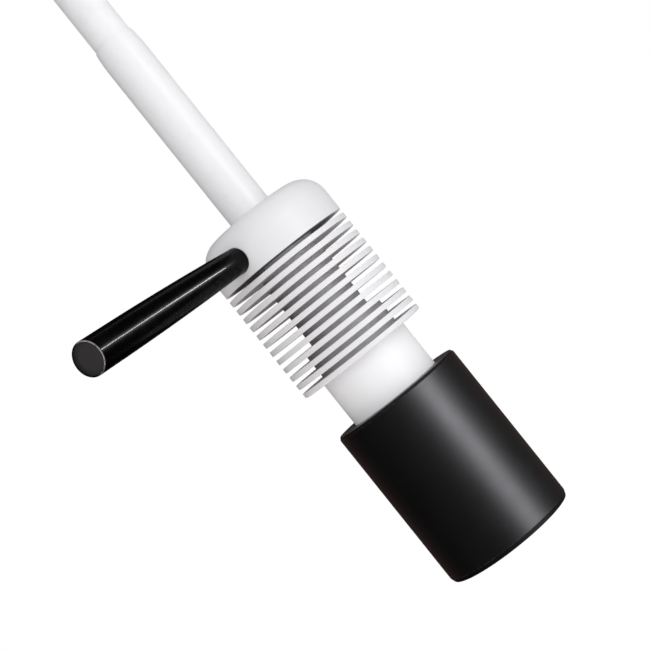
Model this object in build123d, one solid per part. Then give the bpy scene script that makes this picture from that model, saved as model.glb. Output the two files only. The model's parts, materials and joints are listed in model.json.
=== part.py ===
from build123d import *
import math
import os

# LED examination light head on a flexible arm.
#
# Millimetres. +Z runs up the lamp's axis towards the arm, and the light shines along -Z.
# The origin is the middle of the shoulder from which the arm's spigot stands up.
# Bearings are turned from +X towards +Y, seen from above.

# ---------------------------------------------------------------- driving sizes

# Clearances between pieces
seat_gap = 0.05          # radial gap of pieces that are pressed, screwed or glued together
running_gap = 0.10       # radial gap of the swivel and of other turning fits
slide_gap = 0.30         # gap of pieces that slide along each other
swivel_gap = 0.30        # sleeve's foot above the block's top
stack_gap = 0.02         # axial gap of pieces stacked face to face
edge_break = 0.3         # small chamfer on turned pieces
cut_margin = 1.0         # how far a cut reaches past the surface that it opens

# Arm end: spigot, ferrule and flexible neck
spigot_radius = 8.0
spigot_root_radius = 9.0  # hidden in the ferrule, below the shoulder
spigot_length = 38.0
spigot_nose_chamfer = 1.0
spigot_groove_low = 20.0
spigot_groove_width = 6.0
spigot_groove_depth = 1.5
spigot_flange_thickness = 3.0
ferrule_wall = 1.2
ferrule_length = 22.0
ferrule_roof = 3.0
ferrule_shoulder_chamfer = 1.0
neck_radius = 10.4
neck_length = 90.0       # free length between the ferrule and the sleeve
sheath_wall = 1.5
coil_wire = 3.0
coil_stub = 15.0         # length of coil held on each end fitting
cable_radius = 1.9
cable_recess = 0.3       # cable's end above the pivot's foot
coil_end_room = 1.0      # coil's foot above the lower end fitting's shoulder
jack_radius = 2.75
jack_wall = 1.0
jack_recess = 0.5        # socket's face below the spigot's end
jack_pin_radius = 0.65
jack_pin_recess = 1.0    # centre pin's end below the socket's face
jack_depth = 9.0
jack_body_length = 12.0

# Rigid sleeve
sleeve_wall = 1.25
sleeve_mouth_wall = 0.45
sleeve_length = 109.0
sleeve_taper_length = 11.0
plug_length = 10.0       # solid part of the coil's lower end fitting
pivot_plug_length = 22.0
pivot_screw_height = 13.2
pivot_plug_recess = 0.3  # plug's foot inside the sleeve's foot

# Swivel between sleeve and block
pivot_radius = 7.0
pivot_drop = 15.5        # how far the pivot reaches below the block's top
pivot_bore_radius = 3.0
bushing_wall = 2.0
bushing_flange_step = 0.7  # flange's rim inside the sleeve's side
bushing_flange_thickness = 1.2
thrust_washer_thickness = 1.0
stop_collar_wall = 5.0
stop_collar_height = 6.0
stop_lug_width = 5.0
stop_lug_reach = 5.0     # lug's end beyond the collar
stop_lug_root = 2.0      # lug's start inside the collar
stop_pin_radius = 1.5
stop_pin_room = 3.0      # pin's middle beyond the collar
stop_pin_length = 8.5
stop_pin_seat = 3.0
stop_pin_bearing = 90.0

# Housing block
head_radius = 36.0       # block and cooling fins
block_height = 25.5
shoulder_radius = 13.5
block_roof = 6.0
block_wall = 5.0
core_flange_thickness = 3.0
core_flange_step = 3.0   # flange's rim inside the block's side
lock_screw_depth = 3.0   # lock screw's reach into the flange

# Cooling stack
fin_count = 12
fin_thickness = 2.8
fin_gap = 2.45
fin_edge = 0.25
last_fin_edge = 1.0
core_radius = 17.5
narrow_core_fins = 9     # fins on the narrow part of the core; the rest sit on its wide foot
core_foot_length = 12.0  # how far the core reaches into the barrel
lead_bore_radius = 2.5
lead_circle = 12.0
lead_bearing = 90.0
lead_spacing = 2.6
lead_radius = 0.6

# Barrel and focus slide
barrel_radius = 25.0
barrel_wall = 2.0
barrel_shown = 25.5      # barrel between the last fin and the hood, at rest
lens_room = 7.0          # barrel's foot above the lens's edge when the hood is fully up
focus_up = 20.0
focus_down = 6.0
key_radius = 1.5
key_recess = 0.5         # key's inner end outside the barrel's bore
key_drop = 26.5          # key below the guide sleeve's top
key_bearing = 90.0

# Hood
guide_space = 7.8        # between the barrel and the hood's bore
hood_length = 91.2
hood_wall = 3.0
hood_lip_thickness = 3.0
hood_top_chamfer = (1.0, 1.5)
hood_foot_chamfer = (0.9, 2.5)
lip_room = 0.5           # between the hood's lip and the barrel
guide_length = 40.0
guide_flange = 4.0
guide_wall = 3.4
glide_ring_width = 5.0
glide_groove_depth = 1.2
glide_upper_drop = 5.5
glide_lower_drop = 32.5
mouth_recess = 4.7       # lens ring behind the hood's front edge
ring_height = 4.0
ring_width = 3.25
ring_bevel = 1.0
ring_notch_width = 2.0
ring_notch_depth = 1.5
lens_edge = 4.0
lens_border = 2.75       # flat border round the dome
lens_dome_height = 10.0
gasket_thickness = 1.0
baffle_wall = 2.25
baffle_step = 4.0        # spacing of the ridges that stop stray light
baffle_groove = 0.8

# LED, reflector and driver
pad_thickness = 0.5
led_board_room = 3.0     # board's rim inside the barrel
wire_room = 0.15         # hole round a supply wire
board_thickness = 1.6
emitter_width = 12.0
emitter_thickness = 1.0
emitter_dome_radius = 4.2
emitter_dome_thickness = 0.5
led_screw_circle = 16.0
reflector_top_radius = 6.8
reflector_rim_width = 2.5
reflector_room = 0.2     # reflector's top below the emitter's base
reflector_length = 26.0
reflector_wall = 1.0
reflector_rim = 2.0
snap_ring_height = 1.0
snap_ring_width = 1.9
snap_ring_opening = 6.0
snap_groove_depth = 1.0
board_room = 2.1         # driver board's rim inside the handle's boss
standoff_height = 2.0
standoff_radius = 2.5
standoff_edge = 3.5      # standoffs' middle inside the board's rim
screw_radius = 1.0
screw_head_radius = 1.9
screw_head_height = 1.3
screw_slot_width = 0.5
board_screw_depth = 4.5
led_screw_length = 7.0
inductor_radius = 4.5
inductor_height = 5.0
inductor_rim = 0.8
inductor_waist = 1.2
inductor_edge = 7.0      # middle of the inductor inside the board's rim
capacitor_radius = 2.5
capacitor_height = 5.0
capacitor_edge = 6.5     # middle of the capacitors and the terminal inside the board's rim
terminal_size = (9.0, 6.0, 5.0)
terminal_hole_radius = 1.2
link_wire_radius = 1.0
link_bend = 1.2

# Handle
handle_bearing = 236.0
handle_height = 9.9      # axis above the block's lower edge
grip_length = 128.0
grip_root_radius = 6.6
grip_middle_radius = 8.05
grip_tip_radius = 8.35
grip_tip_chamfer = 0.4
grip_bore_depth = 99.0
grip_seat_depth = 0.8
grip_cap_thickness = 3.0
grip_cap_rim = 0.25
grip_gap = 0.1           # grip's root outside the floor of its seat
core_rod_radius = 4.0
core_rod_length = 96.0
core_thread_radius = 3.0
core_thread_length = 10.0
insert_radius = 5.0
insert_wall_behind = 2.0
boss_wall = 1.6
o_ring_thickness = 0.85  # radius of the rings' round section
o_ring_room = 0.2
o_ring_places = (25.0, 80.0)

# Set screws
set_screw_radius = 1.5
hex_radius = 0.85
hex_depth = 1.6
screw_sink = 0.4         # set screws' outer end below the surface
screw_bite = 2.0         # depth of a set screw's seat in the piece that it holds

# ---------------------------------------------------------------- worked-out places

ferrule_foot = -ferrule_length
sleeve_top = ferrule_foot - neck_length
sleeve_foot = sleeve_top - sleeve_length
block_top = sleeve_foot - swivel_gap
block_foot = block_top - block_height
fin_pitch = fin_gap + fin_thickness
core_step = block_foot - narrow_core_fins * fin_pitch
stack_foot = block_foot - fin_count * fin_pitch
core_foot = stack_foot - core_foot_length
barrel_bore = barrel_radius - barrel_wall
core_foot_radius = barrel_bore - seat_gap
hood_top = stack_foot - barrel_shown
hood_foot = hood_top - hood_length
hood_bore = barrel_radius + guide_space
hood_radius = hood_bore + hood_wall
stack_radius = hood_bore - seat_gap
guide_top = hood_top - hood_lip_thickness - stack_gap
guide_foot = guide_top - guide_length
key_height = guide_top - key_drop
ring_foot = hood_foot + mouth_recess
ring_top = ring_foot + ring_height
lens_foot = ring_top + stack_gap
lens_shoulder = lens_foot + lens_edge
barrel_foot = lens_shoulder + focus_up + lens_room
gasket_foot = lens_shoulder + stack_gap
gasket_top = gasket_foot + gasket_thickness
guide_bore = barrel_radius + 2 * slide_gap
guide_tube_radius = guide_bore + guide_wall
ring_opening_radius = stack_radius - ring_width
lens_dome_radius = stack_radius - lens_border
baffle_radius = stack_radius - baffle_wall
led_board_radius = barrel_bore - led_board_room
reflector_foot_radius = barrel_bore - reflector_rim_width

roof_under = block_top - block_roof
flange_top = block_foot + core_flange_thickness
cavity_radius = head_radius - block_wall
core_flange_radius = head_radius - core_flange_step
bushing_bore = pivot_radius + running_gap
bushing_radius = bushing_bore + bushing_wall
stop_collar_radius = pivot_radius + stop_collar_wall
stop_lug_radius = stop_collar_radius + stop_lug_reach
stop_pin_circle = stop_collar_radius + stop_pin_room
washer_top = roof_under - swivel_gap
collar_top = washer_top - thrust_washer_thickness - stack_gap
collar_foot = collar_top - stop_collar_height
pivot_foot = block_top - pivot_drop

sheath_bore = neck_radius - sheath_wall
coil_radius = sheath_bore - seat_gap
coil_bore = coil_radius - coil_wire
stub_radius = coil_bore - seat_gap
socket_radius = neck_radius + seat_gap   # bore of the ferrule and of the sleeve
sleeve_radius = socket_radius + sleeve_wall
bushing_flange_radius = sleeve_radius - bushing_flange_step
sleeve_mouth_radius = socket_radius + sleeve_mouth_wall
jack_top = spigot_length - jack_recess
jack_foot = jack_top - jack_body_length
cable_bore = cable_radius + slide_gap
coil_top = -ferrule_roof - spigot_flange_thickness - swivel_gap
coil_foot = sleeve_top - coil_stub - coil_end_room
plug_top = coil_foot - swivel_gap

pad_top = core_foot - stack_gap
led_board_top = pad_top - pad_thickness - stack_gap
led_board_foot = led_board_top - board_thickness
emitter_top = led_board_foot - stack_gap
emitter_foot = emitter_top - emitter_thickness
reflector_top = emitter_foot - reflector_room
reflector_foot = reflector_top - reflector_length
snap_ring_top = reflector_foot - reflector_rim - stack_gap
driver_foot = flange_top + standoff_height + 2 * stack_gap
driver_top = driver_foot + board_thickness

grip_root = head_radius - grip_seat_depth + grip_gap    # measured out from the lamp's axis
grip_tip = grip_root + grip_length
rod_root = grip_root - grip_gap
rod_tip = rod_root + core_rod_length
insert_outer = rod_root - grip_gap
insert_inner = insert_outer - core_thread_length - cut_margin
boss_inner = insert_inner - insert_wall_behind
boss_radius = insert_radius + boss_wall
driver_board_radius = boss_inner - board_room
standoff_circle = driver_board_radius - standoff_edge

# ---------------------------------------------------------------- building blocks


def turned(*outline):
    """A solid turned about Z from (radius, height) corners."""
    return revolve(Plane.XZ * make_face(Polyline(*outline, close=True)), Axis.Z)


def rod(radius, low, high):
    """A round bar on the Z axis between two heights."""
    return Pos(0, 0, low) * Cylinder(radius, high - low, align=(Align.CENTER, Align.CENTER, Align.MIN))


def ring(outer, inner, low, high):
    """A tube or washer on the Z axis between two heights."""
    return turned((inner, low), (outer, low), (outer, high), (inner, high))


def on_circle(shape, radius, bearing):
    """Moves a shape standing on the Z axis out to a circle, at a bearing."""
    angle = math.radians(bearing)
    return Pos(radius * math.cos(angle), radius * math.sin(angle), 0) * shape


def outward(shape, bearing, height):
    """Lays a shape built along +Z outward from the lamp's axis, at a bearing and height."""
    return Pos(0, 0, height) * Rot(0, 0, bearing) * Rot(0, 90, 0) * shape


def set_screw(inner, outer, radius=set_screw_radius):
    """A headless screw along +Z with a hexagon socket in its outer end."""
    across = radius * hex_radius / set_screw_radius
    socket = extrude(Pos(0, 0, outer) * RegularPolygon(across, 6), -hex_depth)
    return rod(radius, inner, outer) - socket


def screw(tip, under_head, head_height=screw_head_height):
    """A round-headed screw standing on the Z axis, its head above under_head."""
    shank = rod(screw_radius, tip, under_head)
    head = rod(screw_head_radius, under_head, under_head + head_height)
    slot = Pos(0, 0, under_head + head_height) * Box(3 * screw_head_radius, screw_slot_width, head_height)
    return shank + head - slot


def flipped(shape, height):
    """Turns a shape upside down about a level height."""
    return Pos(0, 0, height) * Rot(180, 0, 0) * Pos(0, 0, -height) * shape


def outer_circles(shape):
    """The circular edges of the largest radius, from the lowest up."""
    circles = shape.edges().filter_by(GeomType.CIRCLE).group_by(SortBy.RADIUS)[-1]
    return circles.sort_by(Axis.Z)


# ---------------------------------------------------------------- arm end and neck


def arm_spigot():
    groove_top = spigot_groove_low + spigot_groove_width
    groove_radius = spigot_radius - spigot_groove_depth
    flange_foot = -ferrule_roof - spigot_flange_thickness
    stub_foot = coil_top - coil_stub
    body = turned(
        (0, stub_foot),
        (stub_radius, stub_foot),
        (stub_radius, flange_foot),
        (socket_radius - seat_gap, flange_foot),
        (socket_radius - seat_gap, -ferrule_roof - stack_gap),
        (spigot_root_radius, -ferrule_roof - stack_gap),
        (spigot_root_radius, 0),
        (spigot_radius, 0),
        (spigot_radius, spigot_groove_low),
        (groove_radius, spigot_groove_low),
        (groove_radius, groove_top),
        (spigot_radius, groove_top),
        (spigot_radius, spigot_length - spigot_nose_chamfer),
        (spigot_radius - spigot_nose_chamfer, spigot_length),
        (0, spigot_length),
    )
    body -= rod(cable_bore, stub_foot - cut_margin, spigot_length)
    body -= rod(jack_radius + jack_wall + seat_gap, jack_foot, spigot_length + cut_margin)
    return body


def power_socket():
    floor = jack_top - jack_depth
    return turned(
        (0, jack_foot),
        (jack_radius + jack_wall, jack_foot),
        (jack_radius + jack_wall, jack_top),
        (jack_radius, jack_top),
        (jack_radius, floor),
        (jack_pin_radius, floor),
        (jack_pin_radius, jack_top - jack_pin_recess),
        (0, jack_top - jack_pin_recess),
    )


def spigot_ferrule():
    outer = socket_radius + ferrule_wall
    return turned(
        (socket_radius, ferrule_foot),
        (outer - edge_break, ferrule_foot),
        (outer, ferrule_foot + edge_break),
        (outer, -ferrule_shoulder_chamfer),
        (outer - ferrule_shoulder_chamfer, 0),
        (spigot_root_radius + seat_gap, 0),
        (spigot_root_radius + seat_gap, -ferrule_roof),
        (socket_radius, -ferrule_roof),
    )


def neck_sheath():
    return ring(neck_radius, sheath_bore, coil_foot, coil_top)


def gooseneck_coil():
    """Close-wound coil, drawn as a tube with one rounded bead for each turn."""
    turns = round((coil_top - coil_foot) / coil_wire)
    pitch = (coil_top - coil_foot) / turns
    bead = pitch / 2
    waist = coil_radius - bead
    edges = []
    for turn in range(turns):
        low = coil_foot + turn * pitch
        edges.append(ThreePointArc((waist, low), (coil_radius, low + bead), (waist, low + pitch)))
    edges.append(Line((waist, coil_top), (coil_bore, coil_top)))
    edges.append(Line((coil_bore, coil_top), (coil_bore, coil_foot)))
    edges.append(Line((coil_bore, coil_foot), (waist, coil_foot)))
    return revolve(Plane.XZ * make_face(edges), Axis.Z)


def supply_cable():
    return rod(cable_radius, pivot_foot + cable_recess, jack_foot - stack_gap)


# ---------------------------------------------------------------- sleeve and swivel


def sleeve_tube():
    taper_foot = sleeve_top - sleeve_taper_length
    drop = sleeve_radius - sleeve_mouth_radius
    sweep_radius = (sleeve_taper_length**2 + drop**2) / (2 * drop)
    half = sleeve_taper_length / 2
    middle = sleeve_radius - sweep_radius + math.sqrt(sweep_radius**2 - half**2)
    outline = [
        Line((socket_radius, sleeve_foot), (sleeve_radius - edge_break, sleeve_foot)),
        Line((sleeve_radius - edge_break, sleeve_foot), (sleeve_radius, sleeve_foot + edge_break)),
        Line((sleeve_radius, sleeve_foot + edge_break), (sleeve_radius, taper_foot)),
        ThreePointArc(
            (sleeve_radius, taper_foot),
            (middle, taper_foot + half),
            (sleeve_mouth_radius, sleeve_top),
        ),
        Line((sleeve_mouth_radius, sleeve_top), (socket_radius, sleeve_top)),
        Line((socket_radius, sleeve_top), (socket_radius, sleeve_foot)),
    ]
    body = revolve(Plane.XZ * make_face(outline), Axis.Z)
    hole = rod(set_screw_radius + seat_gap, socket_radius - cut_margin, sleeve_radius + cut_margin)
    for height in sleeve_screw_heights():
        body -= outward(hole, key_bearing, height)
    return body


def sleeve_screw_heights():
    return (plug_top - plug_length / 2, sleeve_foot + pivot_screw_height)


def sleeve_set_screws():
    one = set_screw(neck_radius - screw_bite + stack_gap, sleeve_radius - screw_sink)
    return [outward(one, key_bearing, height) for height in sleeve_screw_heights()]


def screw_seat(height):
    """Blind hole for a set screw in a piece inside the sleeve."""
    seat = rod(set_screw_radius + seat_gap, neck_radius - screw_bite, neck_radius + cut_margin)
    return outward(seat, key_bearing, height)


def coil_end_plug():
    stub_top = coil_foot + coil_stub
    body = turned(
        (cable_bore, plug_top - plug_length),
        (neck_radius, plug_top - plug_length),
        (neck_radius, plug_top),
        (stub_radius, plug_top),
        (stub_radius, stub_top),
        (cable_bore, stub_top),
    )
    return body - screw_seat(sleeve_screw_heights()[0])


def swivel_pivot():
    plug_foot = sleeve_foot + pivot_plug_recess
    body = turned(
        (pivot_bore_radius, pivot_foot),
        (pivot_radius - edge_break, pivot_foot),
        (pivot_radius, pivot_foot + edge_break),
        (pivot_radius, plug_foot),
        (neck_radius, plug_foot),
        (neck_radius, sleeve_foot + pivot_plug_length),
        (pivot_bore_radius, sleeve_foot + pivot_plug_length),
    )
    body -= screw_seat(sleeve_screw_heights()[1])
    return body


def swivel_bushing():
    return turned(
        (bushing_bore, roof_under),
        (bushing_radius, roof_under),
        (bushing_radius, block_top - bushing_flange_thickness),
        (bushing_flange_radius, block_top - bushing_flange_thickness),
        (bushing_flange_radius, block_top),
        (bushing_bore, block_top),
    )


def thrust_washer():
    washer_foot = washer_top - thrust_washer_thickness
    return ring(stop_collar_radius, pivot_radius + seat_gap, washer_foot, washer_top)


def stop_collar():
    middle = (collar_top + collar_foot) / 2
    body = ring(stop_collar_radius, pivot_radius + seat_gap, collar_foot, collar_top)
    lug_inner = stop_collar_radius - stop_lug_root
    lug = Pos((lug_inner + stop_lug_radius) / 2, 0, middle) * Box(
        stop_lug_radius - lug_inner, stop_lug_width, stop_collar_height
    )
    body += Rot(0, 0, stop_pin_bearing + 180) * lug
    hole = rod(set_screw_radius + seat_gap, pivot_radius, stop_collar_radius + cut_margin)
    return body - outward(hole, 0, middle)


def collar_screw():
    middle = (collar_top + collar_foot) / 2
    return outward(set_screw(pivot_radius + seat_gap, stop_collar_radius - screw_sink), 0, middle)


def stop_pin():
    top = roof_under + stop_pin_seat
    pin = rod(stop_pin_radius, top - stop_pin_length, top - stack_gap)
    return on_circle(pin, stop_pin_circle, stop_pin_bearing)


# ---------------------------------------------------------------- housing block


def head_block():
    body = rod(head_radius, block_foot, block_top)
    body = fillet(outer_circles(body)[-1], shoulder_radius)
    cavity = rod(cavity_radius, block_foot - cut_margin, roof_under)
    cavity = fillet(outer_circles(cavity)[-1], shoulder_radius - block_wall)
    body -= cavity
    body -= rod(core_flange_radius, block_foot - cut_margin, flange_top)
    body += along_handle(rod(boss_radius, boss_inner, cavity_radius + cut_margin))
    body -= rod(bushing_radius + seat_gap, roof_under - cut_margin, block_top + cut_margin)
    flange_seat = block_top - bushing_flange_thickness - stack_gap
    body -= rod(bushing_flange_radius + seat_gap, flange_seat, block_top + cut_margin)
    pin_hole = rod(stop_pin_radius + seat_gap, roof_under - cut_margin, roof_under + stop_pin_seat)
    body -= on_circle(pin_hole, stop_pin_circle, stop_pin_bearing)
    body -= along_handle(rod(grip_root_radius + slide_gap, rod_root, head_radius + grip_seat_depth))
    body -= along_handle(rod(insert_radius + seat_gap, insert_inner, rod_root + cut_margin))
    lock_hole = rod(screw_radius + seat_gap, core_flange_radius - cut_margin, head_radius + cut_margin)
    body -= outward(lock_hole, key_bearing, block_foot + core_flange_thickness / 2)
    return body


def block_lock_screw():
    low = core_flange_radius - lock_screw_depth
    lock = set_screw(low + stack_gap, head_radius - screw_sink, screw_radius)
    return outward(lock, key_bearing, block_foot + core_flange_thickness / 2)


# ---------------------------------------------------------------- cooling stack


def heat_sink_core():
    body = turned(
        (0, core_foot),
        (core_foot_radius, core_foot),
        (core_foot_radius, core_step),
        (core_radius, core_step),
        (core_radius, block_foot),
        (core_flange_radius - seat_gap, block_foot),
        (core_flange_radius - seat_gap, flange_top),
        (0, flange_top),
    )
    lead_bore = rod(lead_bore_radius, core_foot - cut_margin, flange_top + cut_margin)
    body -= on_circle(lead_bore, lead_circle, lead_bearing)
    hole_radius = screw_radius + seat_gap
    board_hole = rod(hole_radius, flange_top - board_screw_depth - slide_gap, flange_top + cut_margin)
    for bearing in standoff_bearings():
        body -= on_circle(board_hole, standoff_circle, bearing)
    led_hole = rod(hole_radius, core_foot - cut_margin, core_foot + led_screw_length)
    for bearing in led_screw_bearings():
        body -= on_circle(led_hole, led_screw_circle, bearing)
    lock_seat = rod(hole_radius, core_flange_radius - lock_screw_depth, core_flange_radius + cut_margin)
    body -= outward(lock_seat, key_bearing, block_foot + core_flange_thickness / 2)
    return body


def cooling_fin(number):
    """Fin discs are numbered from the block down; the last one has a rounded lower edge."""
    low = block_foot - number * fin_pitch
    narrow = number <= narrow_core_fins
    bore = (core_radius if narrow else core_foot_radius) + seat_gap
    disc = ring(head_radius, bore, low + stack_gap, low + fin_thickness)
    lower_edge = last_fin_edge if number == fin_count else fin_edge
    disc = fillet(outer_circles(disc)[-1], fin_edge)
    return fillet(outer_circles(disc)[0], lower_edge)


# ---------------------------------------------------------------- barrel, LED and driver


def barrel():
    body = turned(
        (barrel_bore, barrel_foot),
        (barrel_radius - edge_break, barrel_foot),
        (barrel_radius, barrel_foot + edge_break),
        (barrel_radius, stack_foot),
        (barrel_bore, stack_foot),
    )
    groove_foot = snap_ring_top - snap_ring_height - seat_gap
    groove_top = snap_ring_top + seat_gap
    body -= ring(barrel_bore + snap_groove_depth, barrel_bore - cut_margin, groove_foot, groove_top)
    slot_top = key_height + focus_up + key_radius + slide_gap
    slot_foot = key_height - focus_down - key_radius - slide_gap
    slot_width = 2 * (key_radius + slide_gap)
    slot = Box(2 * barrel_wall, slot_width, slot_top - slot_foot)
    slot = Pos(barrel_radius - barrel_wall / 2, 0, (slot_top + slot_foot) / 2) * slot
    return body - Rot(0, 0, key_bearing) * slot


def led_screw_bearings():
    return (0.0, 180.0)


def standoff_bearings():
    return (45.0, 135.0, 225.0, 315.0)


def lead_places():
    """Bearings of the two supply wires on their circle."""
    spread = math.degrees(lead_spacing / 2 / lead_circle)
    return (lead_bearing - spread, lead_bearing + spread)


def drilled(disc, low, high, radius):
    """A board with a hole for each supply wire."""
    for bearing in lead_places():
        disc -= on_circle(rod(radius, low - cut_margin, high + cut_margin), lead_circle, bearing)
    return disc


def led_disc(low, high):
    disc = rod(led_board_radius, low, high)
    disc = drilled(disc, low, high, lead_radius + wire_room)
    hole = rod(screw_radius + seat_gap, low - cut_margin, high + cut_margin)
    for bearing in led_screw_bearings():
        disc -= on_circle(hole, led_screw_circle, bearing)
    return disc


def thermal_pad():
    return led_disc(pad_top - pad_thickness, pad_top)


def led_board():
    return led_disc(led_board_foot, led_board_top)


def led_board_screws():
    under_head = led_board_foot - stack_gap
    hanging = flipped(screw(under_head - led_screw_length, under_head), under_head)
    return [on_circle(hanging, led_screw_circle, bearing) for bearing in led_screw_bearings()]


def led_emitter():
    base = Pos(0, 0, (emitter_top + emitter_foot) / 2) * Box(emitter_width, emitter_width, emitter_thickness)
    return base + rod(emitter_dome_radius, emitter_foot - emitter_dome_thickness, emitter_foot)


def reflector():
    """A bowl with a curved wall and a flat rim that rests on the snap ring."""
    middle_height = reflector_top - reflector_length * 0.35
    middle_radius = reflector_top_radius + (reflector_foot_radius - reflector_top_radius) * 0.58
    wall = reflector_wall
    rim_foot = reflector_foot - reflector_rim
    rim_outer = barrel_bore - seat_gap
    outline = [
        ThreePointArc(
            (reflector_top_radius, reflector_top),
            (middle_radius, middle_height),
            (reflector_foot_radius, reflector_foot),
        ),
        Line((reflector_foot_radius, reflector_foot), (reflector_foot_radius, rim_foot)),
        Line((reflector_foot_radius, rim_foot), (rim_outer, rim_foot)),
        Line((rim_outer, rim_foot), (rim_outer, reflector_foot)),
        Line((rim_outer, reflector_foot), (reflector_foot_radius + wall, reflector_foot)),
        ThreePointArc(
            (reflector_foot_radius + wall, reflector_foot),
            (middle_radius + 0.8 * wall, middle_height + 0.6 * wall),
            (reflector_top_radius + wall, reflector_top),
        ),
        Line((reflector_top_radius + wall, reflector_top), (reflector_top_radius, reflector_top)),
    ]
    return revolve(Plane.XZ * make_face(outline), Axis.Z)


def reflector_snap_ring():
    """An open ring in the barrel's groove; its opening leaves the focus key's path free."""
    outer = barrel_bore + snap_groove_depth - 2 * seat_gap
    body = ring(outer, outer - snap_ring_width, snap_ring_top - snap_ring_height, snap_ring_top)
    opening = Box(3 * snap_ring_width, snap_ring_opening, 3 * snap_ring_height)
    return body - Rot(0, 0, key_bearing) * Pos(outer, 0, snap_ring_top) * opening


def driver_board():
    disc = rod(driver_board_radius, driver_foot, driver_top)
    disc = drilled(disc, driver_foot, driver_top, lead_radius + wire_room)
    hole = rod(screw_radius + seat_gap, driver_foot - cut_margin, driver_top + cut_margin)
    for bearing in standoff_bearings():
        disc -= on_circle(hole, standoff_circle, bearing)
    return disc


def board_standoffs():
    low = flange_top + stack_gap
    tube = ring(standoff_radius, screw_radius + seat_gap, low, low + standoff_height)
    return [on_circle(tube, standoff_circle, bearing) for bearing in standoff_bearings()]


def board_screws():
    under_head = driver_top + stack_gap
    one = screw(flange_top - board_screw_depth, under_head)
    return [on_circle(one, standoff_circle, bearing) for bearing in standoff_bearings()]


def driver_inductor():
    low = driver_top + stack_gap
    top = low + inductor_height
    waist = inductor_radius - inductor_waist
    body = turned(
        (0, low),
        (inductor_radius, low),
        (inductor_radius, low + inductor_rim),
        (waist, low + inductor_rim),
        (waist, top - inductor_rim),
        (inductor_radius, top - inductor_rim),
        (inductor_radius, top),
        (0, top),
    )
    return Pos(inductor_edge - driver_board_radius, 0, 0) * body


def driver_capacitors():
    low = driver_top + stack_gap
    can = rod(capacitor_radius, low, low + capacitor_height)
    can = fillet(outer_circles(can)[-1], edge_break)
    out = driver_board_radius - capacitor_edge
    return [Pos(out, side * (capacitor_radius + running_gap), 0) * can for side in (-1, 1)]


def terminal_block():
    wide, deep, tall = terminal_size
    low = driver_top + stack_gap
    out = terminal_middle()
    block = Pos(0, out, low + tall / 2) * Box(wide, deep, tall)
    for side in (-1, 1):
        block -= Pos(side * wide / 4, out, low + tall) * Cylinder(terminal_hole_radius, tall / 2)
    return block


def terminal_middle():
    return capacitor_edge - driver_board_radius


def link_lead():
    """Short lead from the foot of the pivot to the terminal block."""
    top = pivot_foot + cable_recess - stack_gap
    level = driver_top + link_wire_radius + slide_gap
    end = terminal_middle() + terminal_size[1] / 2 + stack_gap
    path = FilletPolyline((0, 0, top), (0, 0, level), (0, end, level), radius=link_bend)
    profile = Plane(origin=(0, 0, top), z_dir=(0, 0, -1)) * Circle(link_wire_radius)
    return sweep(profile, path)


def led_leads():
    wire = rod(lead_radius, led_board_foot - lead_radius, driver_top + lead_radius)
    return [on_circle(wire, lead_circle, bearing) for bearing in lead_places()]


# ---------------------------------------------------------------- hood


def hood_shell():
    lip_radius = barrel_radius + lip_room
    top_in, top_down = hood_top_chamfer
    foot_in, foot_up = hood_foot_chamfer
    return turned(
        (lip_radius, hood_top),
        (hood_radius - top_in, hood_top),
        (hood_radius, hood_top - top_down),
        (hood_radius, hood_foot + foot_up),
        (hood_radius - foot_in, hood_foot),
        (hood_bore + edge_break, hood_foot),
        (hood_bore, hood_foot + edge_break),
        (hood_bore, hood_top - hood_lip_thickness),
        (lip_radius, hood_top - hood_lip_thickness),
    )


def glide_bands():
    """Heights of the two felt rings, as (low, high)."""
    bands = []
    for drop in (glide_upper_drop, glide_lower_drop):
        top = guide_top - drop
        bands.append((top - glide_ring_width, top))
    return bands


def guide_sleeve():
    body = turned(
        (guide_bore, guide_foot),
        (stack_radius, guide_foot),
        (stack_radius, guide_foot + guide_flange),
        (guide_tube_radius, guide_foot + guide_flange),
        (guide_tube_radius, guide_top - guide_flange),
        (stack_radius, guide_top - guide_flange),
        (stack_radius, guide_top),
        (guide_bore, guide_top),
    )
    groove_radius = guide_bore + glide_groove_depth
    for low, high in glide_bands():
        body -= ring(groove_radius, guide_bore - cut_margin, low - seat_gap, high + seat_gap)
    hole = rod(key_radius + seat_gap, guide_bore - cut_margin, guide_tube_radius + cut_margin)
    return body - outward(hole, key_bearing, key_height)


def glide_ring(place):
    low, high = glide_bands()[place]
    return ring(guide_bore + glide_groove_depth - seat_gap, barrel_radius + slide_gap, low, high)


def focus_key():
    key = rod(key_radius, barrel_bore + key_recess, guide_tube_radius + key_recess)
    return outward(key, key_bearing, key_height)


def baffle_tube():
    top = guide_foot - stack_gap
    foot = gasket_top + stack_gap
    body = ring(stack_radius, baffle_radius, foot, top)
    ridges = int((top - foot) // baffle_step)
    for ridge in range(1, ridges):
        low = foot + ridge * baffle_step
        body -= ring(baffle_radius + baffle_groove, baffle_radius - cut_margin, low, low + baffle_step / 2)
    return body


def lens_gasket():
    return ring(stack_radius, baffle_radius, gasket_foot, gasket_top)


def projection_lens():
    """Flat on its lower face, with a dome above a plain edge."""
    sphere = (lens_dome_radius**2 + lens_dome_height**2) / (2 * lens_dome_height)
    half = lens_dome_radius / 2
    rise = lens_dome_height - (sphere - math.sqrt(sphere**2 - half**2))
    outline = [
        Line((0, lens_foot), (stack_radius, lens_foot)),
        Line((stack_radius, lens_foot), (stack_radius, lens_shoulder)),
        Line((stack_radius, lens_shoulder), (lens_dome_radius, lens_shoulder)),
        ThreePointArc(
            (lens_dome_radius, lens_shoulder),
            (half, lens_shoulder + rise),
            (0, lens_shoulder + lens_dome_height),
        ),
        Line((0, lens_shoulder + lens_dome_height), (0, lens_foot)),
    ]
    return revolve(Plane.XZ * make_face(outline), Axis.Z)


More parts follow.
